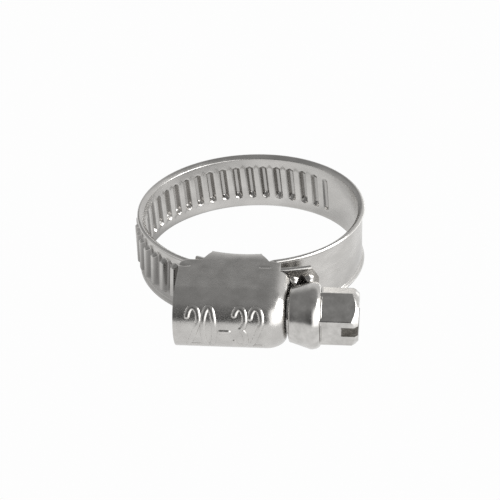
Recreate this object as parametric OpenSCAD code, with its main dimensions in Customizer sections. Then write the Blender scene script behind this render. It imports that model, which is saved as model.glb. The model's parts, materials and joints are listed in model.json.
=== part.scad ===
// Worm-drive hose clamp with a 9 mm strip and a slotted hexagon screw.
// The origin is on the hose axis, at the middle of the strip's width.
// +Z is the hose axis. The screw lies along X at the front (-Y), its head at +X.

/* [Strip] */
// Radius of the hose seat
seat_r = 14.9; // [14.8:0.05:15]
// Width over the rolled edges
strip_w = 9; // [8.8:0.1:9.2]
// Sheet thickness
strip_t = 0.6; // [0.55:0.05:0.65]
// How far the edges are rolled outwards
flare = 0.45; // [0.3:0.05:0.5]
// Radius of the path through the housing
channel_r = 22.7; // [22.7:0.05:22.8]

/* [Teeth] */
// Screw pitch
pitch = 2.2; // [2.2:0.05:2.25]
// Tooth height above the strip
tooth_h = 0.9; // [0.8:0.05:1]
// Tooth length across the strip
tooth_len = 5.6; // [5:0.1:6]
// Tooth width at its foot
tooth_foot = 1.35; // [1.25:0.05:1.4]
// Tooth width at its top
tooth_top = 0.95; // [0.85:0.05:1]

/* [Screw] */
// Distance of the screw axis from the hose axis
screw_y = 21.45; // [21.4:0.05:21.5]
// Outer radius of the thread
thread_r = 3.8; // [3.7:0.05:3.8]
// Radius of the thread root
root_r = 2.95; // [2.9:0.05:3]
// Size across the hexagon's flats
hex_af = 7; // [6.8:0.1:7]
// Width of the screwdriver slot
slot_w = 1.5; // [1:0.1:1.6]
// Depth of the screwdriver slot
slot_deep = 2.2; // [1.4:0.1:2.4]

/* [Housing] */
// Housing sheet thickness
sheet = 0.55; // [0.5:0.05:0.55]
// Inside radius of the dome over the screw
dome_r = 4.15; // [4:0.05:4.2]
// Open end of the housing
housing_x0 = -8.3; // [-8.8:0.1:-8.2]

/* [Hidden] */
$fn = 96;

// The threaded half runs on a circle that meets the fixed half at the back
// and the channel arc tangentially at the front.
channel_c = [1.6, 6.05];
channel_gap = channel_r - seat_r;
seam_a = 90.6;
seam_dir = [cos(seam_a), sin(seam_a)];
left_shift = (channel_gap * channel_gap - channel_c * channel_c) / (2 * (channel_gap + channel_c * seam_dir));
left_c = -left_shift * seam_dir;
left_r = seat_r + left_shift;
junction_a = 360 + atan2(left_c.y - channel_c.y, left_c.x - channel_c.x);

// Teeth are numbered along the strip from the one nearest the screw axis.
tooth_step = pitch / (channel_r + strip_t + 0.7) * 180 / PI;
neutral_pitch = tooth_step * (channel_r + strip_t / 2) * PI / 180;
junction_k = (junction_a - 270) / tooth_step;
left_step = neutral_pitch / (left_r + strip_t / 2) * 180 / PI;
right_step = neutral_pitch / (seat_r + strip_t / 2) * 180 / PI;
seam_k = junction_k - (junction_a - seam_a) / left_step;
first_k = -30;
last_k = 3;
slant = atan(pitch / (2 * PI * thread_r));

// The strip bends at the end of the fixed stretch, at the seam and on the left,
// midway between teeth where it has them.
hinge_a1 = -30;
hinge_a3 = junction_a - (junction_k + 11.5) * left_step;
hinge_gap = 0.12;
// Two arcs of one strip overlap with this step, so that they join cleanly
joint_step = 0.01;

tongue_a = -115.4;
tail_a = 291.8;
flap_t = 0.45;
flap_in = seat_r + 0.02;
flap_a0 = -106.1;
flap_a1 = -80.1;
joggle_r = flap_in + flap_t + 0.03;
tongue_r = seat_r + 0.05;
tongue_w = 8;

wall_end = -16.85;
wall_z = 5.5;
fold_r = 0.6;
neck_r = 2.42;
bore_r = 2.5;
thread_x0 = -7.4;
core_x1 = 5.6;
cap_x = 3.9;
cap_end = 0.66;
housing_x1 = 6.5;
flank_x1 = 5.4;
tunnel_y = -18.4;
tunnel_z = 4.65;
collar_x = 6.75;
collar_w = 2.9;
collar_r0 = 3.7;
collar_r1 = 4.5;
shoulder_w = 1.2;
shoulder_r = 3.65;
hex_x0 = 10.85;
hex_x1 = 15.9;
hex_turn = 8.5;
slot_turn = 3;
far = 40;

function at_angle(r, a) = [r * cos(a), r * sin(a)];

// Outline of the rolled strip in (radius, height), thickness t from radius r
function rolled_section(r, t, w) = let (
    h = w / 2, bend = h - flare, d = t / sqrt(2), cut = bend - t * tan(22.5)
) [
    [r, -bend], [r + flare, -h], [r + flare + d, -h + d], [r + t, -cut],
    [r + t, cut], [r + flare + d, h - d], [r + flare, h], [r, bend]
];

module rolled_arc(c, r, a0, a1) {
    translate([c.x, c.y, 0])
        rotate_extrude(angle = a1 - a0, start = a0)
            polygon(rolled_section(r, strip_t, strip_w));
}

module flat_arc(r, a0, a1, w) {
    rotate_extrude(angle = a1 - a0, start = a0)
        translate([r, -w / 2])
            square([strip_t, w]);
}

// Straight piece of strip that steps from radius r0 at a0 to r1 at a1
module flat_step(r0, a0, r1, a1, w) {
    linear_extrude(w, center = true)
        polygon([at_angle(r0, a0), at_angle(r0 + strip_t, a0), at_angle(r1 + strip_t, a1), at_angle(r1, a1)]);
}

// Block with a foot of foot x len and a top of top x (len - 2 x bevel), h high along +X
module frustum(foot, top, len, bevel, h, sunk) {
    grow = sunk * (foot - top) / (2 * h);
    slope = sunk * bevel / h;
    intersection() {
        linear_extrude(len + 2 * slope, center = true)
            polygon([[-sunk, -foot / 2 - grow], [h, -top / 2], [h, top / 2], [-sunk, foot / 2 + grow]]);
        rotate([90, 0, 0])
            linear_extrude(foot + 2 * grow, center = true)
                polygon([
                    [-sunk, -len / 2 - slope], [h, -len / 2 + bevel],
                    [h, len / 2 - bevel], [-sunk, len / 2 + slope]
                ]);
    }
}

// The embossing fades out at its far end
function fade(k) = min(1, (k - first_k + 1) / 3);

function tooth_place(k) =
    k > junction_k ? [channel_c, channel_r, 270 + k * tooth_step]
    : k > seam_k ? [left_c, left_r, junction_a - (junction_k - k) * left_step]
    : [[0, 0], seat_r, seam_a - (seam_k - k) * right_step];

module at_tooth(k, lift) {
    place = tooth_place(k);
    translate([place[0].x, place[0].y, 0])
        rotate(place[2])
            translate([place[1] + lift, 0, 0])
                rotate([-slant, 0, 0])
                    children();
}

// A stretch of strip with its teeth pressed out, from tooth k0 to tooth k1
module embossed(k0, k1) {
    difference() {
        union() {
            children();
            for (k = [k0:k1])
                at_tooth(k, strip_t)
                    frustum(tooth_foot, tooth_top, tooth_len, 0.5, tooth_h * fade(k), 0.3);
        }
        for (k = [k0:k1])
            at_tooth(k, 0)
                frustum(tooth_foot - 0.3, tooth_top - 0.35, tooth_len - 0.3, 0.5, tooth_h * fade(k), 0.1);
    }
}

// Leaves a narrow gap on both sides of a bend
function gap_angle(r) = hinge_gap / 2 / r * 180 / PI;

module band_fixed_end() {
    gap = gap_angle(seat_r);
    ramp = 1.4;
    joggle_a0 = flap_a0 - 1.4;
    joggle_a1 = flap_a1 + 1.2;
    color("#c9c9c6") {
        flat_arc(tongue_r, tongue_a, joggle_a0 - ramp, tongue_w);
        flat_step(tongue_r, joggle_a0 - ramp, joggle_r, joggle_a0, tongue_w);
        flat_arc(joggle_r, joggle_a0, joggle_a1, tongue_w);
        flat_step(joggle_r, joggle_a1, seat_r, joggle_a1 + ramp, tongue_w);
        flat_arc(seat_r, joggle_a1 + ramp, joggle_a1 + ramp + 1, tongue_w);
        rolled_arc([0, 0], seat_r, joggle_a1 + ramp + 0.5, hinge_a1 - gap);
    }
}

module band_right_side() {
    gap = gap_angle(seat_r);
    color("#c4c4c1")
        embossed(first_k, -25)
            rolled_arc([0, 0], seat_r, hinge_a1 + gap, seam_a - gap);
}

module band_back_left() {
    gap = gap_angle(seat_r);
    color("#bfbfbc")
        embossed(-24, -12)
            rolled_arc(left_c, left_r, seam_a + gap, hinge_a3 - gap);
}

// Cuts the two corners off the tail in the plane of the strip
module tail_corners() {
    tip = channel_c.x + channel_r * cos(tail_a);
    for (side = [0, 1])
        mirror([0, 0, side])
            rotate([90, 0, 0])
                linear_extrude(far)
                    polygon([[tip - 1.3, 5.4], [tip + 0.1, 2.4], [tip + 2, 2.4], [tip + 2, 5.4]]);
}

module band_threaded_end() {
    gap = gap_angle(left_r);
    color("#bababa")
        difference() {
            embossed(-11, last_k) {
                rolled_arc(left_c, left_r + joint_step, hinge_a3 + gap, junction_a + 0.5);
                rolled_arc(channel_c, channel_r, junction_a, tail_a);
            }
            tail_corners();
        }
}

// Section of the housing in (y, z) about the screw axis, drawn smaller by inset
module shell_section(inset) {
    z = wall_z - inset;
    circle(dome_r + sheet - inset);
    polygon([
        [0, -(dome_r + sheet - inset)], [2.95, -z + 0.3], [screw_y + wall_end, -z],
        [screw_y + wall_end, z], [2.95, z - 0.3], [0, dome_r + sheet - inset]
    ]);
}

module along_x(x0, x1) {
    translate([x0, -screw_y, 0])
        rotate([90, 0, 90])
            linear_extrude(x1 - x0)
                children();
}

// The closed end draws in on a quarter ellipse
function cap_scale(u) = cap_end + (1 - cap_end) * sqrt(1 - u * u);

module shell_body(inset, x0, x1) {
    along_x(x0, cap_x)
        shell_section(inset);
    hull()
        for (u = [0, 0.45, 0.75, 0.92, 1])
            along_x(cap_x + u * (x1 - cap_x) - 0.01, cap_x + u * (x1 - cap_x))
                scale(cap_scale(u))
                    shell_section(inset, $fn = 32);
}

// Flap that is folded in under the strip's fixed end
module flap() {
    fold_c = flap_in + fold_r;
    rotate_extrude(angle = flap_a1 - flap_a0, start = flap_a0)
        union() {
            translate([flap_in, 0.06])
                square([flap_t, wall_z - fold_r - 0.05]);
            intersection() {
                translate([fold_c, wall_z - fold_r])
                    difference() {
                        circle(fold_r);
                        circle(fold_r - flap_t);
                    }
                translate([flap_in - 1, wall_z - fold_r])
                    square([fold_r + 1, 2]);
            }
        }
    translate([0, 0, wall_z - flap_t])
        linear_extrude(flap_t)
            difference() {
                polygon([
                    [-5.3, wall_end - 0.2], [-4.2, flap_edge(-4.2)], [2.6, flap_edge(2.6)], [3.7, wall_end - 0.2]
                ]);
                circle(fold_c - 0.05);
            }
}

// Height of the fold's centre line at a place along X
function flap_edge(x) = -sqrt((flap_in + fold_r - 0.1) * (flap_in + fold_r - 0.1) - x * x) + 0.3;

module housing() {
    color("#d2d2cf") {
        difference() {
            shell_body(0, housing_x0, housing_x1);
            shell_body(sheet, housing_x0 - 1, housing_x1 - sheet);
            // open towards the hose
            translate([housing_x0 - 1, wall_end - 0.1, -(wall_z - sheet)])
                cube([cap_x + 1 - housing_x0, 8, 2 * (wall_z - sheet)]);
            // way out for the tail, between the drawn-in ends of the flanks
            translate([cap_x - 0.5, tunnel_y, -tunnel_z])
                cube([far, far, 2 * tunnel_z]);
            translate([flank_x1, tunnel_y, -far / 2])
                cube([far, far, far]);
            along_x(0, far)
                circle(bore_r);
        }
        flap();
        mirror([0, 0, 1])
            flap();
    }
}

// Thread as rings of points: one column for each angle, four rows for each turn.
// Rows stand at fixed parts of a turn; the seam joins row i to row i + 4.
columns = 32;
turns = 4;
fade_turn = 0.35;
crest_part = 0.4;
row_part = [crest_part - 0.24, crest_part - 0.11, crest_part + 0.11, crest_part + 0.24];
row_high = [0, 1, 1, 0];
rows = 4 * turns + 1;

// Crests sit midway between teeth on the side of the strip
thread_start = channel_c.x - (3.5 + crest_part) * pitch;

function row_x(i, j) = thread_start + pitch * (floor(i / 4) + row_part[i % 4] + j / columns);
function run_out(turn) = min(1, turn / fade_turn, (turns - turn) / fade_turn);
function row_r(i, j) = root_r + (thread_r - root_r) * row_high[i % 4] * run_out(floor(i / 4) + j / columns);
function thread_point(i, j) = let (a = 360 * j / columns, r = row_r(i, j))
    [row_x(i, j), r * cos(a), r * sin(a)];

module thread_core() {
    last = columns - 1;
    ring0 = rows * columns;
    ring1 = ring0 + columns;
    body = [for (i = [0:rows - 1]) for (j = [0:last]) thread_point(i, j)];
    end0 = [for (j = [0:last]) [thread_x0, root_r * cos(360 * j / columns), root_r * sin(360 * j / columns)]];
    end1 = [for (j = [0:last]) [core_x1, root_r * cos(360 * j / columns), root_r * sin(360 * j / columns)]];
    top = (rows - 1) * columns;
    faces = concat(
        [for (i = [0:rows - 2]) for (j = [0:last - 1]) for (half = [0, 1])
            half == 0
                ? [i * columns + j, i * columns + j + 1, (i + 1) * columns + j + 1]
                : [i * columns + j, (i + 1) * columns + j + 1, (i + 1) * columns + j]],
        [for (i = [0:rows - 6]) for (half = [0, 1])
            half == 0
                ? [i * columns + last, (i + 4) * columns, (i + 5) * columns]
                : [i * columns + last, (i + 5) * columns, (i + 1) * columns + last]],
        [for (j = [0:last - 1]) for (half = [0, 1])
            half == 0 ? [ring0 + j, ring0 + j + 1, j + 1] : [ring0 + j, j + 1, j]],
        [[ring0 + last, 4 * columns, last], [ring0 + last, ring0, 0]],
        [for (i = [0:3]) [ring0 + last, i * columns, (i + 1) * columns]],
        [for (j = [0:last - 1]) for (half = [0, 1])
            half == 0 ? [top + j, top + j + 1, ring1 + j + 1] : [top + j, ring1 + j + 1, ring1 + j]],
        [for (i = [rows - 5:rows - 2]) [i * columns + last, ring1, (i + 1) * columns + last]],
        [[(rows - 5) * columns + last, top, ring1], [top + last, ring1, ring1 + last]],
        [[for (j = [0:last]) ring0 + last - j]],
        [[for (j = [0:last]) ring1 + j]]
    );
    translate([0, -screw_y, 0])
        polyhedron(concat(body, end0, end1), [for (f = faces) [for (n = [len(f) - 1:-1:0]) f[n]]]);
}

module screw_head() {
    translate([collar_x, -screw_y, 0])
        rotate([0, 90, 0]) {
            cylinder(r1 = collar_r0, r2 = collar_r1, h = collar_w);
            translate([0, 0, collar_w])
                cylinder(r1 = collar_r1, r2 = shoulder_r, h = shoulder_w);
        }
    difference() {
        intersection() {
            translate([hex_x0 - 1, -screw_y, 0])
                rotate([hex_turn, 0, 0])
                    rotate([0, 90, 0])
                        cylinder(d = hex_af / cos(30), h = hex_x1 - hex_x0 + 1, $fn = 6);
            translate([hex_x0 - 2, -screw_y, 0])
                rotate([0, 90, 0])
                    cylinder(r1 = 3.15 + hex_x1 - hex_x0 + 2, r2 = 3.15, h = hex_x1 - hex_x0 + 2);
        }
        translate([hex_x1 - slot_deep, -screw_y, 0])
            rotate([slot_turn, 0, 0])
                translate([0, -far / 2, -slot_w / 2])
                    cube([far, far, slot_w]);
    }
}

module screw() {
    color("#dcdcda") {
        thread_core();
        translate([core_x1 - 0.3, -screw_y, 0])
            rotate([0, 90, 0])
                cylinder(r = neck_r, h = collar_x - core_x1 + 0.5);
        screw_head();
    }
}

housing();
band_fixed_end();
band_right_side();
band_back_left();
band_threaded_end();
screw();
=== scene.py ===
import json
import math

import bpy
import numpy as np
from mathutils import Matrix, Vector


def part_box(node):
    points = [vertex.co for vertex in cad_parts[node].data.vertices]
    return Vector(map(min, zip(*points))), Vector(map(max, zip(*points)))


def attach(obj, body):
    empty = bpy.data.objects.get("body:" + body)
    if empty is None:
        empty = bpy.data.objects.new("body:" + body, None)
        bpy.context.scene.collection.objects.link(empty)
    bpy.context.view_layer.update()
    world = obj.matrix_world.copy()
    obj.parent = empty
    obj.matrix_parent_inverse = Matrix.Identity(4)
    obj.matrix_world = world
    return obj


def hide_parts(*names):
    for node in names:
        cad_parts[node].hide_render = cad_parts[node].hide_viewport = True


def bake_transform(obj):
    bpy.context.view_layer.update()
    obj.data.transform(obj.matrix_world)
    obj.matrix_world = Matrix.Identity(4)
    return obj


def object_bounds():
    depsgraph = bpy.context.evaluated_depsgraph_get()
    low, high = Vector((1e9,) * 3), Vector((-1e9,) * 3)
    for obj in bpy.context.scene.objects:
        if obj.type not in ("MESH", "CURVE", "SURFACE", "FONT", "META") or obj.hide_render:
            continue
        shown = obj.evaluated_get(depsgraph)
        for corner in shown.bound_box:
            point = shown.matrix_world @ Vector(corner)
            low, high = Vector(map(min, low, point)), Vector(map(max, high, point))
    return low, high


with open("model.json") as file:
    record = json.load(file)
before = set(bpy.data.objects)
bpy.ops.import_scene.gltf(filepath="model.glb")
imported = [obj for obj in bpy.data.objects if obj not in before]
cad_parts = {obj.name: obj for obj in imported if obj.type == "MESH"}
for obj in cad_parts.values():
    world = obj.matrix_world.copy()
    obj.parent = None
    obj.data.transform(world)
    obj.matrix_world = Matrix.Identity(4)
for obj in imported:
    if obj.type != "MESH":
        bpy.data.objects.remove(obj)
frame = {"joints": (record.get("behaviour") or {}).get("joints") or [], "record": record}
cadLow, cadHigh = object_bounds()

# Lengths in this file are millimetres in the frame's axes, and meshes are made in metres.
mm = 0.001


# Small helpers

def smooth(t):  # 3 t^2 - 2 t^3 between 0 and 1, flat outside
    t = np.clip(t, 0, 1)
    return t * t * (3 - 2 * t)


def mix(a, b, t):  # a where t is 0, b where t is 1
    return a + (b - a) * t


def toLinear(hexText):  # sRGB channel c to linear: c / 12.92 when small, else ((c + 0.055) / 1.055) ^ 2.4
    channels = [int(hexText[i:i + 2], 16) / 255 for i in (1, 3, 5)]
    return [c / 12.92 if c <= 0.04045 else ((c + 0.055) / 1.055) ** 2.4 for c in channels] + [1.0]


def spread(*stretches):  # joins evenly spaced stretches (start, end, steps), sharing their ends
    parts = [np.linspace(a, b, n + 1)[:-1] for a, b, n in stretches]
    return np.concatenate(parts + [[stretches[-1][1]]])


def gridQuads(rows, columns, closed=False):
    # quad i, j joins point (i, j) to its neighbours; a closed grid joins its last column to the first
    i, j = np.meshgrid(np.arange(rows - 1), np.arange(columns if closed else columns - 1), indexing="ij")
    k = (j + 1) % columns
    here, beyond = i * columns, (i + 1) * columns
    return np.stack([here + j, beyond + j, beyond + k, here + k], -1).reshape(-1, 4)


def makePiece(name, points, faces, surface=None, sharpAngle=35, pressed=None):
    # points in mm; surface holds two lengths in mm for each point, along and across the metal's grain;
    # the last argument is painted shade, 0 to 1, kept on the points to darken the colour there
    mesh = bpy.data.meshes.new(name)
    mesh.from_pydata((np.reshape(points, (-1, 3)) * mm).tolist(), [], faces)
    if surface is not None:
        corners = np.zeros(len(mesh.loops), np.int32)
        mesh.loops.foreach_get("vertex_index", corners)
        layer = mesh.uv_layers.new(name="surface")
        layer.data.foreach_set("uv", np.reshape(surface, (-1, 2))[corners].astype(np.float32).ravel())
    # painted shade, stored on each point for the strip's colour
    if pressed is not None:
        layer = mesh.attributes.new("pressed", "FLOAT", "POINT")
        layer.data.foreach_set("value", np.ravel(pressed).astype(np.float32))
    mesh.validate()
    mesh.shade_smooth()
    mesh.set_sharp_from_angle(angle=math.radians(sharpAngle))
    piece = bpy.data.objects.new(name, mesh)
    bpy.context.scene.collection.objects.link(piece)
    return piece


def closedTube(name, grid, surface, sharpAngle=35, pressed=None):
    # rows of rings, closed around, with a flat face on the first and the last ring
    rows, columns = grid.shape[:2]
    faces = gridQuads(rows, columns, closed=True).tolist()
    first = list(range(columns))
    last = [(rows - 1) * columns + c for c in range(columns)]
    faces += [first, last[::-1]]
    if signedVolume(grid.reshape(-1, 3), faces) < 0:
        faces = [face[::-1] for face in faces]
    return makePiece(name, grid, faces, surface, sharpAngle, pressed)


def signedVolume(points, faces):  # sum over fan triangles of a . (b x c) / 6
    triangles = np.array([(f[0], f[k], f[k + 1]) for f in faces for k in range(1, len(f) - 1)])
    a, b, c = (points[triangles[:, k]] for k in range(3))
    return float(np.einsum("ij,ij->i", a, np.cross(b, c)).sum() / 6)


def addNode(tree, kind, settings=None, inputs=None):
    # one node with its settings, and a value or a link on each input that is given
    node = tree.nodes.new(kind)
    for key, value in (settings or {}).items():
        setattr(node, key, value)
    for key, value in (inputs or {}).items():
        if isinstance(value, bpy.types.NodeSocket):
            tree.links.new(value, node.inputs[key])
        else:
            node.inputs[key].default_value = value
    return node


# Camera

view = {
    "lookAt": (-0.1, -0.45, 0),
    "azimuth": 6.45,
    "elevation": 30.44,
    "distance": 224,
    "aimLeft": 0.159,
    "aimDown": 0.628,
    "roll": -1.72,
    "lens": 111.67,
}


def makeCamera(s):
    azimuth, elevation, roll = (math.radians(s[k]) for k in ("azimuth", "elevation", "roll"))
    level = math.cos(elevation)
    back = Vector((math.sin(azimuth) * level, -math.cos(azimuth) * level, math.sin(elevation)))
    right = (-back).cross(Vector((0, 0, 1))).normalized()
    up = right.cross(-back)
    aimLeft, aimDown = (math.tan(math.radians(s[k])) for k in ("aimLeft", "aimDown"))
    ahead = (-back - right * aimLeft - up * aimDown).normalized()
    right = ahead.cross(up).normalized()
    up = right.cross(ahead)
    turnedRight = math.cos(roll) * right + math.sin(roll) * up
    turnedUp = math.cos(roll) * up - math.sin(roll) * right
    camera = bpy.data.objects.new("camera", bpy.data.cameras.new("camera"))
    place = Matrix((turnedRight, turnedUp, -ahead)).transposed().to_4x4()
    place.translation = (Vector(s["lookAt"]) + back * s["distance"]) * mm
    camera.matrix_world = place
    camera.data.lens = s["lens"]
    camera.data.sensor_width = 36
    camera.data.clip_start = 0.01
    camera.data.clip_end = 20
    bpy.context.scene.collection.objects.link(camera)
    bpy.context.scene.camera = camera


makeCamera(view)
print("camera placed")


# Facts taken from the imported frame

joints = {joint["name"]: np.array(joint["pos_m"]) / mm for joint in frame["joints"]}
seatRadius = [mount["dims"]["r_mm"] for mount in frame["record"]["mounts"] if mount["name"] == "hose_seat"][0]
screwAxisY = joints["screw_turn"][1]
housingLow, housingHigh = (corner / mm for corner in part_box("housing"))
screwLow, screwHigh = (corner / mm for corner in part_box("screw"))
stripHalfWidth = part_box("band_right_side")[1].z / mm
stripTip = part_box("band_threaded_end")[1].x / mm


# Strip

strip = {
    "sheet": 0.6,
    "seamAngle": 90.6,  # where the threaded half meets the fixed half, at the back
    "channelCentre": (1.6, 6.05),
    "channelRadius": 22.7,  # inside of the strip in the housing
    "flatHalf": 3.82,  # flat up to here, then the edges roll outwards
    "bendRadius": 0.12,
    "rollAngle": 50,
    "lipLength": 0.72,
    "tipRadius": 0.24,
    "tongueHalfWidth": 4.0,  # unrolled end under the housing
    "firstTooth": -30,
    "lastTooth": 3,
    "toothShift": 0.4,  # teeth stand this far towards the tail from whole numbers
    "toothPitch": 2.2,
    "pitchHeight": 0.7,  # the pitch is measured this far outside the sheet
    "toothHeight": 0.72,
    "toothHalfLength": 2.95,
    "toothFoot": 1.45,
    "toothFlank": 0.5,
    "toothEnd": 0.6,
    "toothPoint": 0.4,  # how much shorter the sides are than the middle, per mm of width
    "pocketDepth": 0.72,
    "pocketHalfLength": 2.85,
    "pocketFoot": 1.2,
    "pocketFlank": 0.42,
    "pocketEnd": 0.9,
    "pocketPoint": 0.5,
    # painted shade in the pockets on the inside, this strong
    "pocketShade": 0.4,
    "valleyDepth": 0.07,  # grooves between the teeth, pressed the other way
    "valleyHalfLength": 3.1,
    "valleyFoot": 1.15,
    "valleyFlank": 0.35,
    "valleyEnd": 0.7,
    "valleyPoint": 0.9,
    "dullHalfLength": 3.15,  # painted shade over the grooves and flanks, leaving the crests lighter
    "dullFoot": 1.85,
    "dullFlank": 0.4,
    "dullEnd": 0.5,
    "dullPoint": 0.9,
    "leanRadius": 3.8,  # the teeth lean like a thread of this radius
    "leanHalf": 3,  # no further from the middle than this
    "leanFrom": -42,  # and from nothing at this tooth number to all of it at the next
    "leanFull": -34,
    "cornerStart": 3.45,  # tooth number where the tail's corners start to be cut
    "cornerCut": 0.6,  # in teeth
    "cornerFrom": 2.4,  # mm from the middle
}

midSheet = strip["sheet"] / 2
channelCentre = np.array(strip["channelCentre"])
seamWay = np.array([math.cos(math.radians(strip["seamAngle"])), math.sin(math.radians(strip["seamAngle"]))])
channelGap = strip["channelRadius"] - seatRadius
leftShift = (channelGap ** 2 - channelCentre @ channelCentre) / (2 * (channelGap + channelCentre @ seamWay))
leftCentre = -leftShift * seamWay
leftRadius = seatRadius + leftShift
junctionAngle = 360 + math.degrees(math.atan2(*(leftCentre - channelCentre)[::-1]))
pitchRadius = strip["channelRadius"] + strip["sheet"] + strip["pitchHeight"]
channelStep = math.degrees(strip["toothPitch"] / pitchRadius)
neutralPitch = math.radians(channelStep) * (strip["channelRadius"] + midSheet)
leftStep = math.degrees(neutralPitch / (leftRadius + midSheet))
rightStep = math.degrees(neutralPitch / (seatRadius + midSheet))
junctionTooth = (junctionAngle - 270) / channelStep
seamTooth = junctionTooth - (junctionAngle - strip["seamAngle"]) / leftStep
leanPerMm = 1 / (2 * math.pi * strip["leanRadius"])
tailSine = (stripTip - channelCentre[0]) / (strip["channelRadius"] + strip["sheet"])
tailTooth = math.degrees(math.asin(tailSine)) / channelStep


def toothAt(angle):  # tooth number at an angle on the fixed half, from the seam backwards
    return seamTooth - (strip["seamAngle"] - angle) / rightStep


def stripPlace(k):
    # centre, radius and angle on the strip's middle line, which is three arcs; k counts teeth along it
    inChannel = k > junctionTooth
    onLeft = (k > seamTooth) & ~inChannel
    centreX = np.where(inChannel, channelCentre[0], np.where(onLeft, leftCentre[0], 0.0))
    centreY = np.where(inChannel, channelCentre[1], np.where(onLeft, leftCentre[1], 0.0))
    radius = np.where(inChannel, strip["channelRadius"], np.where(onLeft, leftRadius, seatRadius)) + midSheet
    angle = np.where(
        inChannel, 270 + k * channelStep, np.where(
            onLeft, junctionAngle - (junctionTooth - k) * leftStep,
            strip["seamAngle"] - (seamTooth - k) * rightStep))
    return centreX, centreY, radius, np.radians(angle)


def pressing(k, z, side):
    # how far the sheet is pressed outwards, a hipped block at each tooth and a shallow groove inwards halfway
    # between, and the painted shade there, over grooves and flanks and in pockets; side is +1 on the outside,
    # -1 on the inside and 0 on the lips; the first three teeth and grooves grow to their full height
    s = strip
    k = k - s["toothShift"]
    tooth = np.round(k)
    fromTooth = (k - tooth) * neutralPitch
    grown = np.clip((tooth - s["firstTooth"] + 1) / 3, 0, 1)
    fade = grown * (tooth >= s["firstTooth"]) * (tooth <= s["lastTooth"])
    valley = np.floor(k) + 0.5
    fromValley = (k - valley) * neutralPitch
    valleyFade = np.clip((valley - s["firstTooth"]) / 3, 0, 1) * (valley < s["lastTooth"])

    def block(part, from0):  # 0 outside the block and 1 on its top, with sloping sides and pointed ends
        fromSide = (s[part + "Foot"] / 2 - np.abs(from0)) / s[part + "Flank"]
        fromEnd = (s[part + "HalfLength"] - np.abs(z) - s[part + "Point"] * np.abs(from0)) / s[part + "End"]
        return smooth(np.minimum(fromSide, fromEnd))

    raised = s["toothHeight"] * fade * block("tooth", fromTooth)
    pocket = fade * block("pocket", fromTooth)
    groove = s["valleyDepth"] * valleyFade * block("valley", fromValley)
    shadeOutside = valleyFade * block("dull", fromValley)
    lift = np.where(side > 0, raised, s["pocketDepth"] * pocket) - groove
    # painted shade: darker over the grooves and flanks outside and in the pockets inside
    paintedShade = np.where(side > 0, shadeOutside, s["pocketShade"] * smooth(3 * pocket))
    return np.where(side == 0, 0.0, lift), np.where(side == 0, 0.0, paintedShade)


def stripSection(rolled):
    # closed section, one row for each value of rolled from 0, flat, to 1: each face runs straight, bends by
    # rollAngle on an arc of bendRadius, and runs straight on to a rounded edge
    s = strip
    turn = np.maximum(math.radians(s["rollAngle"]) * rolled, 1e-3)[:, None]
    half = np.tan(turn / 2)
    corner = mix(s["tongueHalfWidth"] - s["lipLength"], s["flatHalf"], rolled)[:, None]
    run = spread((0, 0.45, 4), (0.45, 0.86, 14), (0.86, 1, 2))[None, :]
    part = np.linspace(0, 1, 6)[None, 1:]
    lip = np.linspace(0, 1, 3)[None, 1:]
    ahead = np.stack([np.sin(turn), np.cos(turn)], -1)
    side = np.stack([np.cos(turn), -np.sin(turn)], -1)

    def face(offset):
        tangent = s["bendRadius"] * half
        start = corner - offset * half - tangent
        straight = np.stack([np.full((len(turn), run.shape[1]), offset), start * run], -1)
        angle = turn * part
        bend = np.stack([
            offset + s["bendRadius"] * (1 - np.cos(angle)), start + s["bendRadius"] * np.sin(angle)], -1)
        length = s["lipLength"] - offset * half - tangent - s["tipRadius"]
        return np.concatenate([straight, bend, bend[:, -1:] + ahead * (length * lip)[..., None]], 1)

    outside, inside = face(midSheet), face(-midSheet)
    centre = (outside[:, -1] + inside[:, -1]) / 2
    ahead, side = ahead[:, 0], side[:, 0]
    lips = []
    for turned in np.radians(np.linspace(0, 180, 9))[1:-1]:
        flatEdge = math.copysign(midSheet - s["tipRadius"], math.cos(turned))
        across = flatEdge + s["tipRadius"] * math.cos(turned)
        lips.append(centre + side * across + ahead * s["tipRadius"] * math.sin(turned))
    lips = np.stack(lips, 1)
    flip = np.array([1, -1])
    ring = np.concatenate([
        outside[:, :0:-1] * flip, outside, lips,
        inside[:, ::-1], inside[:, 1:] * flip, lips[:, ::-1] * flip], 1)
    faced = 2 * outside.shape[1] - 1
    edge = lips.shape[1]
    sides = np.concatenate([np.ones(faced), np.zeros(edge), -np.ones(faced), np.zeros(edge)])
    return ring[..., 0], ring[..., 1], sides


def stripPiece(name, k, rolled=None, radiusShift=None):
    # rows at tooth numbers k; the rows lean with the screw thread, by leanPerMm teeth for each mm across
    s = strip
    rolled = np.ones(len(k)) if rolled is None else rolled
    out, z, side = stripSection(rolled)
    row = k[:, None]
    toTail = np.clip((row - s["cornerStart"]) / (tailTooth - s["cornerStart"]), 0, 1)
    leaning = smooth((row - s["leanFrom"]) / (s["leanFull"] - s["leanFrom"])) * (1 - smooth(toTail))
    lean = leaning * np.clip(z, -s["leanHalf"], s["leanHalf"]) * leanPerMm
    cut = s["cornerCut"] * np.maximum(np.abs(z) - s["cornerFrom"], 0) / (stripHalfWidth - s["cornerFrom"])
    along = row + lean - toTail * cut
    centreX, centreY, radius, angle = stripPlace(along)
    shift = 0 if radiusShift is None else radiusShift[:, None]
    # lift is the shape; the second value is painted shade for the colour
    lift, paintedShade = pressing(row, z, side[None, :])
    radius = radius + shift + out + lift
    grid = np.stack([centreX + radius * np.cos(angle), centreY + radius * np.sin(angle), z], -1)
    surface = np.stack([along * neutralPitch, z], -1)
    return closedTube(name, grid, surface, sharpAngle=60, pressed=paintedShade)


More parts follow.
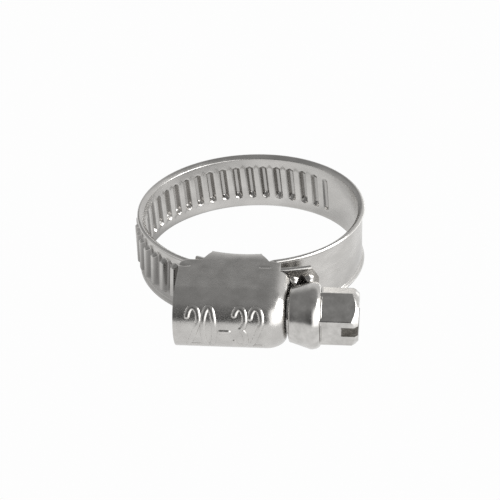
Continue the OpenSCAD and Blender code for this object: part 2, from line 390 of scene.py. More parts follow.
# Rows stand close together on the flanks of a tooth
halfTooth = spread((0, 0.06, 1), (0.06, 0.42, 18), (0.42, 0.5, 2))
toothRows = np.concatenate([-halfTooth[-2:0:-1], halfTooth])


def toothedRows(first, last):  # from half a tooth before first to half a tooth after last
    rows = np.concatenate([[first - 0.5], (np.arange(first, last + 1)[:, None] + toothRows).ravel()])
    return rows + strip["toothShift"]


fixedEnd = {  # angles in degrees from +X about the hose axis
    "tongueStart": -115.4,
    "jogStart": -108.9,
    "jogFull": -107.5,
    "jogEnd": -78.9,
    "seated": -77.5,
    "rolledFrom": -76.8,
    "rolledFull": -73.5,
    "end": -72,
    "tongueShift": 0.05,  # mm outwards
    "jogShift": 0.5,
}


def makeFixedEnd(s):
    angle = spread(
        (s["tongueStart"], s["jogStart"], 8), (s["jogStart"], s["jogFull"], 8),
        (s["jogFull"], s["jogEnd"], 30), (s["jogEnd"], s["seated"], 8), (s["seated"], s["end"], 14))
    up = smooth((angle - s["jogStart"]) / (s["jogFull"] - s["jogStart"]))
    down = smooth((angle - s["jogEnd"]) / (s["seated"] - s["jogEnd"]))
    shift = mix(mix(s["tongueShift"], s["jogShift"], up), 0, down)
    rolled = smooth((angle - s["rolledFrom"]) / (s["rolledFull"] - s["rolledFrom"]))
    return stripPiece("stripFixedEnd", toothAt(angle), rolled, shift)


# The strip changes from one piece to the next in the grooves between teeth
joins = np.array([-30.5, -16.5, -5.5]) + strip["toothShift"]
bendEnds = {"right": (toothAt(fixedEnd["end"]), joins[0]), "back": tuple(joins[:2]), "left": tuple(joins[1:])}


def makeStrip():
    pieces = {"stripFixedEnd": makeFixedEnd(fixedEnd)}
    pieces["stripBendRight"] = stripPiece("stripBendRight", np.linspace(*bendEnds["right"], 90))
    pieces["stripBendBack"] = stripPiece("stripBendBack", toothedRows(-30, -17))
    pieces["stripBendLeft"] = stripPiece("stripBendLeft", toothedRows(-16, -6))
    rows = toothedRows(-5, strip["lastTooth"])
    tailRows = np.linspace(strip["cornerStart"], tailTooth, 9)
    rows = np.concatenate([rows[rows < strip["cornerStart"]], tailRows])
    pieces["stripThreaded"] = stripPiece("stripThreaded", rows)
    return pieces


stripPieces = makeStrip()
print("strip made:", {name: len(piece.data.polygons) for name, piece in stripPieces.items()})


# Housing

housing = {
    "sheet": 0.5,
    "domeRadius": 4.3,  # middle of the sheet
    "flankZ": 5.25,
    "crown": 0.12,  # how far the tab still rises between the flank and the fold
    "edge": 4.6,
    "cutFrom": 3.05,  # the closed end stands below this, open above for the tail
    "filletLength": 2.5,  # the drawn-in end
    "filletDepth": 1.6,
    "lipTurn": 36,  # above the cut the drawn-in end stops at this turn, in degrees
    "boreRadius": 2.55,
    "cornerRadius": 1.3,
    "tabFoot": (-5.3, 3.7),  # the tab over the strip, from and to along the screw
    "tabTop": (-4.2, 2.6),
    "flapRadius": 15.14,
    "foldRadius": 0.5,
    "flapEnd": 0.06,
    "tabRows": 0.9,  # closely spaced columns up to this far past the tab's top
    "cornerRows": 3.75,  # the rows on the flank change their spacing here
    "domeRows": 46,  # and those on the dome here, in degrees from its front
    "dents": [(2.75, 3.85), (-8.1, -7.2)],  # along the screw, left on a flank by the press
    "dentOut": [3.42, 3.4],  # mm from the screw axis towards the hose
    "dentRadius": 0.32,
    "dentSquash": 1.6,
    "dentDepth": 0.16,
    "rim": 0.1,
    "endGap": 0.02,  # the end plate stands this far inside the part's own box
}

# Size range as raised strokes: each glyph is a list of lines in a box 1 wide and 1 high
marking = {
    "height": 6.1,
    "width": 1.5,
    "space": 0.57,
    "start": -6.4,
    "top": 41,  # degrees above the front of the dome
    "stroke": 0.2,
    "raised": 0.13,
    "margin": 0.4,  # closely spaced columns from this far before the first glyph
    "reach": 60,  # no stroke lies further round the dome than this, in degrees
}


def arcLine(x, y, rx, ry, a0, a1, n=14):  # ellipse about (x, y) from angle a0 to a1 in degrees
    a = np.radians(np.linspace(a0, a1, n))
    return np.stack([x + rx * np.cos(a), y + ry * np.sin(a)], -1)


two = [np.concatenate([arcLine(0.5, 0.74, 0.5, 0.26, 170, -20), [[0.0, 0.0], [1.0, 0.0]]])]
zero = [arcLine(0.5, 0.5, 0.5, 0.5, 0, 360, 40)]
threeTop = arcLine(0.45, 0.76, 0.48, 0.24, 160, -80)
three = [np.concatenate([threeTop, arcLine(0.45, 0.26, 0.55, 0.26, 80, -160)])]
dash = [np.array([[0.15, 0.45], [0.85, 0.45]])]
glyphs = [two, zero, dash, three, two]


def segmentDistance(x, y, line):  # least distance from each point to the pieces of a line
    best = np.full(np.shape(x), 1e9)
    for a, b in zip(line[:-1], line[1:]):
        d = b - a
        t = np.clip(((x - a[0]) * d[0] + (y - a[1]) * d[1]) / max(d @ d, 1e-12), 0, 1)
        best = np.minimum(best, np.hypot(x - a[0] - t * d[0], y - a[1] - t * d[1]))
    return best


def markingHeight(x, arc):  # raised by a rounded ridge about each stroke
    s = marking
    nearest = np.full(np.shape(x), 1e9)
    for n, glyph in enumerate(glyphs):
        left = s["start"] + n * (s["width"] + s["space"])
        for line in glyph:
            placed = np.stack([left + line[:, 0] * s["width"], (1 - line[:, 1]) * s["height"]], -1)
            nearest = np.minimum(nearest, segmentDistance(x, arc, placed))
    return s["raised"] * smooth(1.5 - nearest / s["stroke"])


def housingRows(s):
    # upper half of the section, from the end of the flap over the fold and down to the front of the dome:
    # out, the distance from the screw axis towards the hose; z; the hose radius under the flap; how much
    # the flap follows it; and turn, the angle on the dome from its front
    flapZ = np.linspace(s["flapEnd"], s["flankZ"] - s["foldRadius"], 9)
    fold = np.radians(np.linspace(0, 90, 9)[1:])
    # the flanks are the tangents from the folds to the dome's circle
    top = s["flankZ"] - s["crown"]
    away = math.hypot(s["edge"], top)
    tangent = 180 - math.degrees(math.atan2(top, s["edge"]) + math.acos(s["domeRadius"] / away))
    touch = -s["domeRadius"] * math.cos(math.radians(tangent))
    flank = spread(
        (s["edge"], s["cornerRows"], 6), (s["cornerRows"], s["cutFrom"], 7), (s["cutFrom"], touch, 18))
    dome = np.radians(spread((tangent, s["domeRows"], 11), (s["domeRows"], 0, 43)))[1:]
    tab = np.linspace(0, 1, 7)[1:-1]
    out = np.concatenate([
        np.full(len(flapZ) + len(fold) + len(tab), s["edge"]), flank, -s["domeRadius"] * np.cos(dome)])
    touchZ = s["domeRadius"] * math.sin(math.radians(tangent))
    flankZ = mix(touchZ, top, (flank - touch) / (s["edge"] - touch))
    foldZ = s["flankZ"] - s["foldRadius"] * (1 - np.sin(fold))
    z = np.concatenate([
        flapZ, foldZ, s["flankZ"] - s["crown"] * tab ** 2, flankZ, s["domeRadius"] * np.sin(dome)])
    hose = np.concatenate([
        np.full(len(flapZ), s["flapRadius"]), s["flapRadius"] + s["foldRadius"] * (1 - np.cos(fold)),
        np.full(len(tab) + len(flank) + len(dome), s["flapRadius"] + s["foldRadius"])])
    follow = np.concatenate([
        np.ones(len(flapZ) + len(fold)), 1 - tab, np.zeros(len(flank) + len(dome))])
    turn = np.concatenate([np.full(len(out) - len(dome), 90.0), np.degrees(dome)])
    return out, z, hose, follow, turn


def makeHousing(s):
    out, z, hose, follow, turn = housingRows(s)
    mirrored = slice(-2, None, -1)
    out, hose, follow = (np.concatenate([a, a[mirrored]]) for a in (out, hose, follow))
    z = np.concatenate([z, -z[mirrored]])
    turn = np.concatenate([turn, -turn[mirrored]])
    x0 = housingLow.x
    x1 = housingHigh.x - s["sheet"] / 2 - s["endGap"]
    filletFrom = x1 - s["filletLength"]
    markedFrom = marking["start"] - marking["margin"]
    markedTo = s["tabTop"][1] + s["tabRows"]
    body = spread(
        (x0, markedFrom, 5), (markedFrom, markedTo, 125), (markedTo, s["tabFoot"][1], 3),
        (s["tabFoot"][1], filletFrom, 2))
    left = np.argmin(np.abs(body - s["tabFoot"][0]))
    body[left] = s["tabFoot"][0]
    right = np.argmin(np.abs(body - s["tabFoot"][1]))
    tau = np.radians(spread((0, s["lipTurn"], 8), (s["lipTurn"], 90, 9)))[1:]
    inward = np.linspace(0, 1, 6)[1:]

    # section normal, for the marking and the drawn-in end
    dOut, dZ = np.gradient(out), np.gradient(z)
    length = np.hypot(dOut, dZ) + 1e-9
    normalOut, normalZ = dZ / length, -dOut / length
    flip = np.sign(normalOut * out + normalZ * z)
    normalOut, normalZ = normalOut * flip, normalZ * flip
    onDome = np.abs(turn) < 90
    normalOut = np.where(onDome, -np.cos(np.radians(turn)), normalOut)
    normalZ = np.where(onDome, np.sin(np.radians(turn)), normalZ)

    # columns along the body
    gridX = np.repeat(body[:, None], len(out), 1)
    inTab = (np.arange(len(body)) >= left) & (np.arange(len(body)) <= right)
    squeezed = np.interp(body, s["tabFoot"], s["tabTop"])
    gridX = mix(gridX, squeezed[:, None], follow[None, :] * inTab[:, None])
    gridOut = np.repeat(out[None, :], len(body), 0)
    gridZ = np.repeat(z[None, :], len(body), 0)
    flapOut = -np.sqrt(hose[None, :] ** 2 - gridX ** 2) - screwAxisY
    gridOut = mix(gridOut, flapOut, follow[None, :])
    # rounded outer corner of the flank: square norm to round norm
    fromCorner = s["cornerRadius"]
    a = 1 - (gridX - x0) / fromCorner
    b = 1 - (s["edge"] - gridOut) / fromCorner
    inCorner = (a > 0) & (b > 0) & (follow[None, :] == 0)
    longest = np.maximum(a, b)
    norm = np.hypot(a, b) + 1e-9
    gridX = np.where(inCorner, x0 + (1 - a * longest / norm) * fromCorner, gridX)
    gridOut = np.where(inCorner, s["edge"] - (1 - b * longest / norm) * fromCorner, gridOut)
    # raised marking, and the small dents left by the press on the flanks
    arc = (marking["top"] - turn[None, :]) * math.pi / 180 * (s["domeRadius"] + s["sheet"] / 2)
    raised = markingHeight(gridX, arc) * (np.abs(turn)[None, :] < marking["reach"])
    dent = np.zeros_like(gridX)
    for (dentFrom, dentTo), dentOut in zip(s["dents"], s["dentOut"]):
        away = np.hypot(gridX - np.clip(gridX, dentFrom, dentTo), (gridOut - dentOut) * s["dentSquash"])
        dent = np.maximum(dent, s["dentDepth"] * smooth(1 - away / s["dentRadius"]) * (gridZ > 0))
    lift = raised - dent
    gridOut = gridOut + normalOut[None, :] * lift
    gridZ = gridZ + normalZ[None, :] * lift

    # drawn-in end: a quarter of an ellipse, filletLength long and filletDepth deep
    pull = s["filletDepth"] * (1 - np.cos(tau))[:, None]
    filletOut = out[None, :] - normalOut[None, :] * pull
    filletZ = z[None, :] - normalZ[None, :] * pull
    filletX = np.repeat((filletFrom + s["filletLength"] * np.sin(tau))[:, None], len(out), 1)
    # on the last of these the rows past the cut lie on the plate's straight edge instead
    half = len(out) // 2
    cutRow = np.argmin(np.abs(out[:half] - s["cutFrom"]) + 100 * (follow[:half] > 0))
    edgeZ = filletZ[-1, cutRow] * np.linspace(0, 1, cutRow + 1)
    filletZ[-1, :cutRow + 1] = edgeZ
    filletZ[-1, -cutRow - 1:] = -edgeZ[::-1]
    filletOut[-1, :cutRow] = filletOut[-1, cutRow]
    filletOut[-1, -cutRow:] = filletOut[-1, -cutRow - 1]
    # plate round the neck of the screw
    spoke = np.arctan2(filletZ[-1], filletOut[-1])
    wallOut = mix(filletOut[-1][None, :], s["boreRadius"] * np.cos(spoke)[None, :], inward[:, None])
    wallZ = mix(filletZ[-1][None, :], s["boreRadius"] * np.sin(spoke)[None, :], inward[:, None])
    wallX = np.full(wallOut.shape, x1)

    gridX = np.concatenate([gridX, filletX, wallX])
    gridOut = np.concatenate([gridOut, filletOut, wallOut])
    gridZ = np.concatenate([gridZ, filletZ, wallZ])
    grid = np.stack([gridX, gridOut + screwAxisY, gridZ], -1)

    columns, rows = gridX.shape
    i = np.arange(columns - 1)[:, None]
    tabRows = (follow[:-1] + follow[1:] > 0)[None, :]
    aboveCut = (np.arange(rows - 1) < cutRow) | (np.arange(rows - 1) >= rows - 1 - cutRow)
    lastBody = len(body) - 1
    lipColumns = lastBody + np.sum(tau <= math.radians(s["lipTurn"]) + 1e-6)
    lastFillet = lastBody + len(tau)
    keep = ~tabRows | ((i >= left) & (i < right))
    keep &= ~(aboveCut[None, :] & (i >= lipColumns) & (i < lastFillet))
    keep |= i >= lastFillet
    faces = gridQuads(columns, rows)[keep.ravel()]
    used, faces = np.unique(faces, return_inverse=True)
    points = grid.reshape(-1, 3)[used]
    # the plate's straight edge closes where its two halves meet
    rounded, back = np.unique(np.round(points, 5), axis=0, return_inverse=True)
    faces = back.ravel()[faces.reshape(-1, 4)]
    faces = [list(dict.fromkeys(face)) for face in faces.tolist()]
    faces = [face for face in faces if len(face) > 2]
    piece = makePiece("housingShell", rounded, faces, sharpAngle=40)
    wall = piece.modifiers.new("sheet", "SOLIDIFY")
    wall.thickness = s["sheet"] * mm
    wall.offset = 0
    wall.use_even_offset = False
    edges = piece.modifiers.new("sheared edges", "BEVEL")
    edges.width = s["rim"] * mm
    edges.segments = 2
    edges.limit_method = "ANGLE"
    edges.angle_limit = math.radians(60)
    return piece


housingPiece = makeHousing(housing)
print("housing made:", len(housingPiece.data.polygons))


# Screw

screw = {
    "threadRadius": 3.8,
    "rootRadius": 2.95,
    "pitch": 2.2,
    "crestAt": -3.5 + strip["toothShift"],  # in pitches from the channel's centre, halfway between teeth
    "crestHalf": 0.1,  # in turns
    "flank": 0.13,
    "threadClear": 0.4,  # the ridge fades out this far from each end of the shaft
    "threadFade": 0.8,
    "shaftEnd": 5.6,
    "shaftRound": 0.4,
    "neckRadius": 2.42,
    "neckInside": 0.2,
    "collarStart": 6.75,
    "collarRadii": (3.7, 4.5),
    "noseLength": 0.35,  # rounded edge facing the housing
    "noseDrop": 0.3,
    "shoulderLength": 1.3,
    "shoulderDrop": 0.7,
    "collarEnd": 10.95,
    "ringRadius": 3.85,  # of the low ring under the hexagon
    "ringSteps": (0.02, 0.05, 0.08, 0.2),  # past the collar: it starts, is full, rounds off and ends
    "ringFoot": 0.1,
    "ringDrop": 0.2,
    "faceRadius": 2.6,
    "hexAcross": 7,
    "hexInside": 0.6,  # the hexagon's foot inside the collar
    "hexTurn": 8.5,  # degrees
    "hexCorner": 0.35,
    "hexChamfer": 3.15,  # radius of the rounded-off end face
    "hexEndRows": 1.1,  # closely spaced rows this far from the end
    "hexSharp": 28,  # degrees between faces that stay a sharp edge
    "slotWidth": 1.5,
    "slotDeep": 2.2,
    "slotReach": 6,  # the milling cutter reaches past the hexagon on all sides
    "slotTurn": 3,
    "slotRim": 0.07,
}


screwAngles = np.linspace(0, 2 * math.pi, 144, endpoint=False)


def roundPiece(name, x, radius, along):
    # rings about the screw axis at each x; along is the length over the surface up to each ring
    radius = radius * np.ones_like(screwAngles)
    grid = np.stack([
        np.repeat(x[:, None], len(screwAngles), 1),
        screwAxisY + radius * np.cos(screwAngles), radius * np.sin(screwAngles)], -1)
    around = np.abs(screwAngles - math.pi) * radius
    surface = np.stack([np.repeat(along[:, None], len(screwAngles), 1), around], -1)
    return closedTube(name, grid, surface)


def roundOver(start, end, levelFirst, n):
    # quarter of an ellipse between two profile points, setting off along the axis or along the radius
    turned = np.linspace(0, math.pi / 2, n)
    late, early = 1 - np.cos(turned), np.sin(turned)
    alongX, alongR = (early, late) if levelFirst else (late, early)
    return np.stack([mix(start[0], end[0], alongX), mix(start[1], end[1], alongR)], -1)


def makeShaft(s):
    # a flat-topped ridge on the root radius, one pitch for each turn; it fades out before the rounded ends
    x = spread((screwLow.x, s["shaftEnd"], 210))
    turns = (x[:, None] - channelCentre[0]) / s["pitch"] - screwAngles[None, :] / (2 * math.pi)
    fromCrest = np.abs((turns - s["crestAt"] + 0.5) % 1 - 0.5)
    ridge = smooth((s["crestHalf"] + s["flank"] - fromCrest) / s["flank"])
    fromEnd = np.minimum(x - screwLow.x, s["shaftEnd"] - x)[:, None]
    run = np.clip((fromEnd - s["threadClear"]) / s["threadFade"], 0, 1)
    radius = s["rootRadius"] + (s["threadRadius"] - s["rootRadius"]) * ridge * run
    rounding = 1 - np.clip(fromEnd / s["shaftRound"], 0, 1)
    radius = radius - s["shaftRound"] * (1 - np.sqrt(1 - rounding ** 2))
    return roundPiece("screwThread", x, radius, x)


def makeCollar(s):
    # profile of (x, radius) from the shaft over the neck, the cone, its shoulder and the ring
    start, end, ring = s["collarStart"], s["collarEnd"], s["ringRadius"]
    small, large = s["collarRadii"]
    nose = start + s["noseLength"]
    shoulder = end - s["shoulderLength"]
    foot, full, off, face = (end + step for step in s["ringSteps"])
    profile = np.concatenate([
        [[s["shaftEnd"] - s["neckInside"], s["neckRadius"]], [start, s["neckRadius"]]],
        roundOver((start, small - s["noseDrop"]), (nose, small), False, 6),
        np.linspace((nose, small), (shoulder, large), 5)[1:],
        roundOver((shoulder, large), (end, large - s["shoulderDrop"]), True, 12)[1:],
        [[foot, ring - s["ringFoot"]], [full, ring]],
        roundOver((off, ring), (face, ring - s["ringDrop"]), True, 5),
        [[face, s["faceRadius"]]]])
    x, radius = profile.T
    arc = np.concatenate([[0], np.cumsum(np.hypot(np.diff(x), np.diff(radius)))])
    return roundPiece("screwCollar", x, radius[:, None], arc)


def hexOutline(s, n=6):
    # six flats with a small arc at each corner
    flat = s["hexAcross"] / 2
    corner = s["hexCorner"]
    reach = (flat - corner) / math.cos(math.pi / 6)
    turned = np.radians(30 + 60 * np.arange(6) + s["hexTurn"])
    sweep = np.radians(np.linspace(-30, 30, n))
    angle = turned[:, None] + sweep[None, :]
    arcs = np.stack([
        reach * np.cos(turned)[:, None] + corner * np.cos(angle),
        reach * np.sin(turned)[:, None] + corner * np.sin(angle)], -1)
    nextStart = np.roll(arcs[:, 0], -1, axis=0)
    part = np.linspace(0, 1, 12)[None, 1:-1, None]
    flats = mix(arcs[:, -1][:, None], nextStart[:, None], part)
    return np.concatenate([arcs, flats], 1).reshape(-1, 2)


def makeHex(s):
    outline = hexOutline(s)
    end = screwHigh.x
    endRows = end - s["hexEndRows"]
    x = spread((s["collarEnd"] - s["hexInside"], endRows, 6), (endRows, end, 14))
    limit = s["hexChamfer"] + (end - x)
    size = np.hypot(*outline.T)
    scale = np.minimum(1, limit[:, None] / size[None, :])
    y = outline[:, 0][None, :] * scale
    z = outline[:, 1][None, :] * scale
    grid = np.stack([np.repeat(x[:, None], len(outline), 1), screwAxisY + y, z], -1)
    around = np.concatenate([[0], np.cumsum(np.hypot(*np.diff(outline, axis=0).T))])
    surface = np.stack([
        np.repeat(x[:, None], len(outline), 1), np.repeat(around[None, :], len(x), 0)], -1)
    head = closedTube("screwHexagon", grid, surface, s["hexSharp"])
    # the driver slot is milled out of the end
    turn = math.radians(s["slotTurn"])
    across = np.array([0, math.cos(turn), math.sin(turn)])
    deep = np.array([0, -math.sin(turn), math.cos(turn)])
    floor = np.array([end - s["slotDeep"], screwAxisY, 0])
    outwards = np.array([s["slotReach"], 0, 0])
    across = across * s["slotReach"]
    deep = deep * s["slotWidth"] / 2
    inner = np.array([
        floor - across - deep, floor - across + deep, floor + across + deep, floor + across - deep])
    cutter = closedTube("slotCutter", np.array([inner, inner + outwards]), np.zeros((8, 2)))
    cut = head.modifiers.new("slot", "BOOLEAN")
    cut.operation = "DIFFERENCE"
    cut.solver = "EXACT"
    cut.object = cutter
    bpy.context.view_layer.update()
    evaluated = head.evaluated_get(bpy.context.evaluated_depsgraph_get())
    milled = bpy.data.meshes.new_from_object(evaluated)
    head.modifiers.remove(cut)
    head.data = milled
    milled.set_sharp_from_angle(angle=math.radians(s["hexSharp"]))
    bpy.data.objects.remove(cutter)
    edges = head.modifiers.new("slot edges", "BEVEL")
    edges.width = s["slotRim"] * mm
    edges.segments = 2
    edges.limit_method = "ANGLE"
    edges.angle_limit = math.radians(50)
    return head


shaftPiece = makeShaft(screw)
collarPiece = makeCollar(screw)
hexPiece = makeHex(screw)
print("screw made")


# Materials

def newMaterial(name):
    material = bpy.data.materials.new(name)
    material.use_nodes = True
    tree = material.node_tree
    tree.nodes.clear()
    shader = addNode(tree, "ShaderNodeBsdfPrincipled", inputs={"Metallic": 1.0})
    addNode(tree, "ShaderNodeOutputMaterial", inputs={"Surface": shader.outputs["BSDF"]})
    return material, tree, shader


def toneRamp(ramp, dark, light):
    ramp.elements[0].position = 0.3
    ramp.elements[0].color = toLinear(dark)
    ramp.elements[1].position = 0.7
    ramp.elements[1].color = toLinear(light)


stripFinish = {
    "dark": "#b9b7b4",
    "light": "#cfcdca",
    # colour of the painted shade in the grooves, flanks and pockets
    "paintedShade": "#989694",
    "grainLength": 9.0,  # mm
    "grainWidth": 0.3,
    "cloud": 5.0,
    "roughness": (0.2, 0.32),
    "depth": 0.0006,
}


def rolledStainless(s):
    # Cold-rolled stainless strip: fine lines along its length, cloudy patches, and painted shade that darkens
    # the grooves, flanks and pockets
    material, tree, shader = newMaterial("rolledStainless")
    flat = addNode(tree, "ShaderNodeUVMap", {"uv_map": "surface"})
    along = addNode(tree, "ShaderNodeMapping", inputs={
        "Vector": flat.outputs["UV"], "Scale": (1 / s["grainLength"], 1 / s["grainWidth"], 1)})
    lines = addNode(tree, "ShaderNodeTexNoise", inputs={
        "Vector": along.outputs["Vector"], "Scale": 1.0, "Detail": 3.0, "Roughness": 0.55})
    broad = addNode(tree, "ShaderNodeMapping", inputs={
        "Vector": flat.outputs["UV"], "Scale": (1 / s["cloud"], 1.6 / s["cloud"], 1)})
    clouds = addNode(tree, "ShaderNodeTexNoise", inputs={
        "Vector": broad.outputs["Vector"], "Scale": 1.0, "Detail": 4.0, "Roughness": 0.55})
    tones = addNode(tree, "ShaderNodeValToRGB", inputs={"Fac": clouds.outputs["Fac"]})
    toneRamp(tones.color_ramp, s["dark"], s["light"])
    # painted shade: the colour goes to the darker grey where the points carry it
    pressed = addNode(tree, "ShaderNodeAttribute", {"attribute_name": "pressed"})
    colour = addNode(tree, "ShaderNodeMix", {"data_type": "RGBA"}, {
        0: pressed.outputs["Fac"], 6: tones.outputs["Color"], 7: toLinear(s["paintedShade"])})
    both = addNode(tree, "ShaderNodeMath", {"operation": "ADD"}, {
        0: lines.outputs["Fac"], 1: clouds.outputs["Fac"]})
    gloss = addNode(tree, "ShaderNodeMapRange", inputs={
        "Value": both.outputs[0], "From Min": 0.6, "From Max": 1.4,
        "To Min": s["roughness"][0], "To Max": s["roughness"][1]})
    bump = addNode(tree, "ShaderNodeBump", inputs={
        "Height": lines.outputs["Fac"], "Distance": s["depth"] * mm, "Strength": 1.0})
    tree.links.new(colour.outputs[2], shader.inputs["Base Color"])
    tree.links.new(gloss.outputs["Result"], shader.inputs["Roughness"])
    tree.links.new(bump.outputs["Normal"], shader.inputs["Normal"])
    return material


housingFinish = {
    "dark": "#b9b7b4",
    "light": "#c9c7c4",
    "grit": 0.2,  # mm, marks of the tumbling media
    "mottle": 1.6,
    "roughness": (0.2, 0.31),
    "depth": 0.008,
}


def tumbledStainless(s):
    # Deep-drawn stainless sheet, tumbled after pressing: satin, with a fine speckle and soft mottling
    material, tree, shader = newMaterial("tumbledStainless")
    place = addNode(tree, "ShaderNodeTexCoord")
    grit = addNode(tree, "ShaderNodeTexNoise", inputs={
        "Vector": place.outputs["Object"], "Scale": 1 / mm / s["grit"], "Detail": 2.0, "Roughness": 0.55})
    mottle = addNode(tree, "ShaderNodeTexNoise", inputs={
        "Vector": place.outputs["Object"], "Scale": 1 / mm / s["mottle"], "Detail": 5.0, "Roughness": 0.55})
    tones = addNode(tree, "ShaderNodeValToRGB", inputs={"Fac": mottle.outputs["Fac"]})
    toneRamp(tones.color_ramp, s["dark"], s["light"])
    both = addNode(tree, "ShaderNodeMath", {"operation": "ADD"}, {
        0: grit.outputs["Fac"], 1: mottle.outputs["Fac"]})
    gloss = addNode(tree, "ShaderNodeMapRange", inputs={
        "Value": both.outputs[0], "From Min": 0.6, "From Max": 1.4,
        "To Min": s["roughness"][0], "To Max": s["roughness"][1]})
    bump = addNode(tree, "ShaderNodeBump", inputs={
        "Height": grit.outputs["Fac"], "Distance": s["depth"] * mm, "Strength": 1.0})
    tree.links.new(tones.outputs["Color"], shader.inputs["Base Color"])
    tree.links.new(gloss.outputs["Result"], shader.inputs["Roughness"])
    tree.links.new(bump.outputs["Normal"], shader.inputs["Normal"])
    return material


screwFinish = {
    "dark": "#b6b4b1",
    "light": "#cfcdca",
    "ring": 0.12,  # mm, along the screw
    "patch": 1.1,
    "roughness": (0.16, 0.28),
    "depth": 0.0015,
}


def headedStainless(s):
    # Cold-headed and thread-rolled stainless: semi-bright, with faint rings from the die
    material, tree, shader = newMaterial("headedStainless")
    flat = addNode(tree, "ShaderNodeUVMap", {"uv_map": "surface"})
    place = addNode(tree, "ShaderNodeTexCoord")
    around = addNode(tree, "ShaderNodeMapping", inputs={
        "Vector": flat.outputs["UV"], "Scale": (1 / s["ring"], 0.06, 1)})
    rings = addNode(tree, "ShaderNodeTexNoise", inputs={
        "Vector": around.outputs["Vector"], "Scale": 1.0, "Detail": 3.0, "Roughness": 0.55})
    patches = addNode(tree, "ShaderNodeTexNoise", inputs={
        "Vector": place.outputs["Object"], "Scale": 1 / mm / s["patch"], "Detail": 4.0, "Roughness": 0.55})
    tones = addNode(tree, "ShaderNodeValToRGB", inputs={"Fac": patches.outputs["Fac"]})
    toneRamp(tones.color_ramp, s["dark"], s["light"])
    both = addNode(tree, "ShaderNodeMath", {"operation": "ADD"}, {
        0: rings.outputs["Fac"], 1: patches.outputs["Fac"]})
    gloss = addNode(tree, "ShaderNodeMapRange", inputs={
        "Value": both.outputs[0], "From Min": 0.6, "From Max": 1.4,
        "To Min": s["roughness"][0], "To Max": s["roughness"][1]})
    bump = addNode(tree, "ShaderNodeBump", inputs={
        "Height": rings.outputs["Fac"], "Distance": s["depth"] * mm, "Strength": 1.0})
    tree.links.new(tones.outputs["Color"], shader.inputs["Base Color"])
    tree.links.new(gloss.outputs["Result"], shader.inputs["Roughness"])
    tree.links.new(bump.outputs["Normal"], shader.inputs["Normal"])
    return material


def paint(piece, material):
    piece.data.materials.clear()
    piece.data.materials.append(material)


stripMaterial = rolledStainless(stripFinish)
housingMaterial = tumbledStainless(housingFinish)
screwMaterial = headedStainless(screwFinish)
for piece in stripPieces.values():
    paint(piece, stripMaterial)
paint(housingPiece, housingMaterial)
for piece in (shaftPiece, collarPiece, hexPiece):
    paint(piece, screwMaterial)
print("materials made")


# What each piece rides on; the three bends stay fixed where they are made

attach(stripPieces["stripFixedEnd"], "housing")
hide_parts("band_fixed_end")
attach(stripPieces["stripThreaded"], "band_front_left")
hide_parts("band_threaded_end")
bends = {
    "right": ("stripBendRight", "housing", "band_right", "band_right_side"),
    "back": ("stripBendBack", "band_right", "band_back", "band_back_left"),
    "left": ("stripBendLeft", "band_back", "band_front_left", "band_back_left"),
}
for side, (pieceName, before, after, node) in bends.items():
    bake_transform(stripPieces[pieceName])
    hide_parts(node)

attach(housingPiece, "housing")
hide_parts("housing")
for piece in (shaftPiece, collarPiece, hexPiece):
    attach(piece, "screw")
    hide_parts("screw")
print("pieces joined to the frame")


# Floor and light

studio = {
    "floorHalf": 900,
    "floorGlow": 1.02,
    "shadowReach": (17, 29),  # mm from the hose axis, where the clamp's own soft shadow fades out
    "shadowTurn": (-20, 4),  # mm towards +X, where it goes over from the left value to the right one
    "shadowLeft": 0.6,
    "shadowRight": 0.12,
    "shadowHole": 0.85,  # share of the ring's radius where the shadow inside it goes over to the other
    "insideTurn": (0, 11),  # mm towards +X, where the shadow inside the ring starts and is full
    "shadowInside": 0.8,
    "floorLit": (30, 46),  # mm towards +X, where the lamp's pool of light starts and is full
    "litGlow": 1.3,
    # ranges below are of one component of a direction: +X is right, +Y beyond the clamp, +Z up
    "roomY": (-0.98, -0.45),  # goes from skyFront to skyBack
    "skyFront": 0.08,
    "skyBack": 0.34,
    "backdropZ": (0.45, 0.8),
    "backdropY": (-0.1, 0.45),
    "backdropX": (-0.55, -0.2),
    "skyBackdrop": 0.95,
    "fillX": (-0.85, -0.6),
    "skyFill": 0.3,
    "lampX": (0.12, 0.45),
    "lampY": (-0.1, 0.25),
    "lampZ": (0.58, 0.8),
    "skySide": 2.6,
    "sideLight": 2.0,  # watts of the lamp over the clamp's right
}


